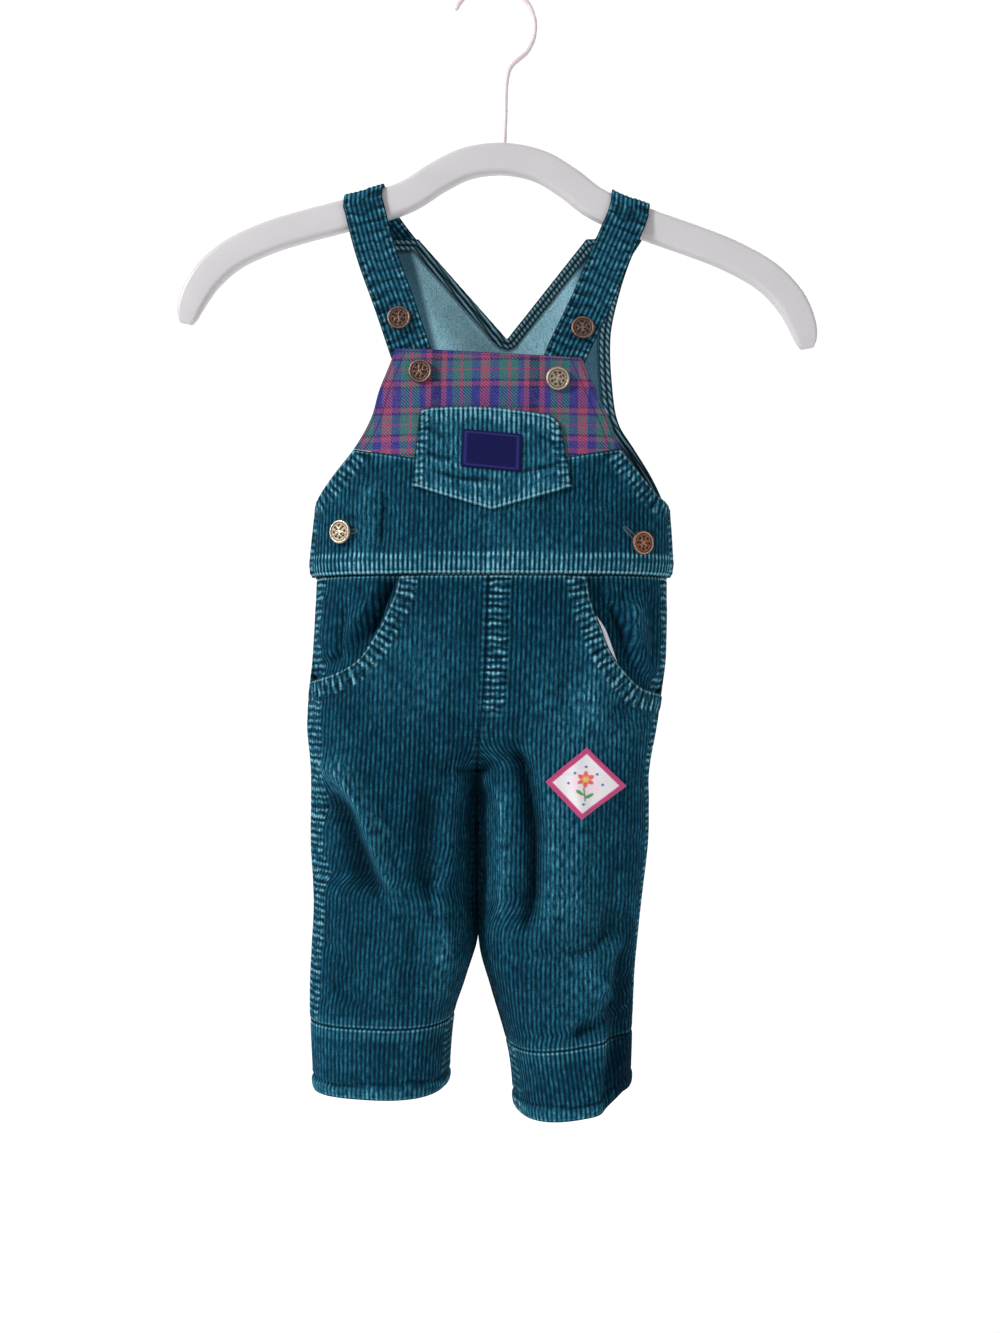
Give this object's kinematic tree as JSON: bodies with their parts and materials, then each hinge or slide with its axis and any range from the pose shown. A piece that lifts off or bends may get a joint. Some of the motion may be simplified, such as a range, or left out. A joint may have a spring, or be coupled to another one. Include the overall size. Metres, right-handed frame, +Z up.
{
  "type": "bib overalls on a hanger",
  "caption": "Toddler's bib overalls in wide-wale corduroy with a checked flannel yoke, hanging by the straps from a plain white hanger.",
  "frame": {"origin": "the inside top of the hanger's hook, where a rod or peg carries it", "axes": "+Z up, the front faces -Y, and +X is to the right as seen from the front"},
  "size_m": [0.4128, 0.1039, 0.7301],
  "materials": {
    "corduroy": "wide-wale cotton corduroy, teal, worn lighter at seams and edges",
    "flannel": "brushed cotton twill, checked in blue, rose and green",
    "lining": "plain white pocketing",
    "label": "woven navy tape",
    "badge": "woven badge with a rose border and a pale field",
    "button": "antique copper, worn bright on the rims",
    "hanger": "white, satin",
    "hook": "white over steel wire"
  },
  "bodies": {
    "root": {"hanger_body": "hanger", "hanger_hook": "hook", "left_strap": "corduroy", "right_strap": "corduroy", "front_bib": "corduroy", "bib_yoke": "flannel", "back_bib": "corduroy", "bib_pocket": "corduroy", "bib_label": "label", "front_left_leg": "corduroy", "front_right_leg": "corduroy", "back_left_leg": "corduroy", "back_right_leg": "corduroy", "left_hem": "corduroy", "right_hem": "corduroy", "left_pocket_facing": "corduroy", "right_pocket_facing": "corduroy", "right_pocket_lining": "lining", "leg_badge": "badge", "strap_button_left": "button", "strap_button_right": "button", "bib_button_left": "button", "bib_button_right": "button", "side_button_left": "button", "side_button_right": "button"}
  },
  "joints": []
}
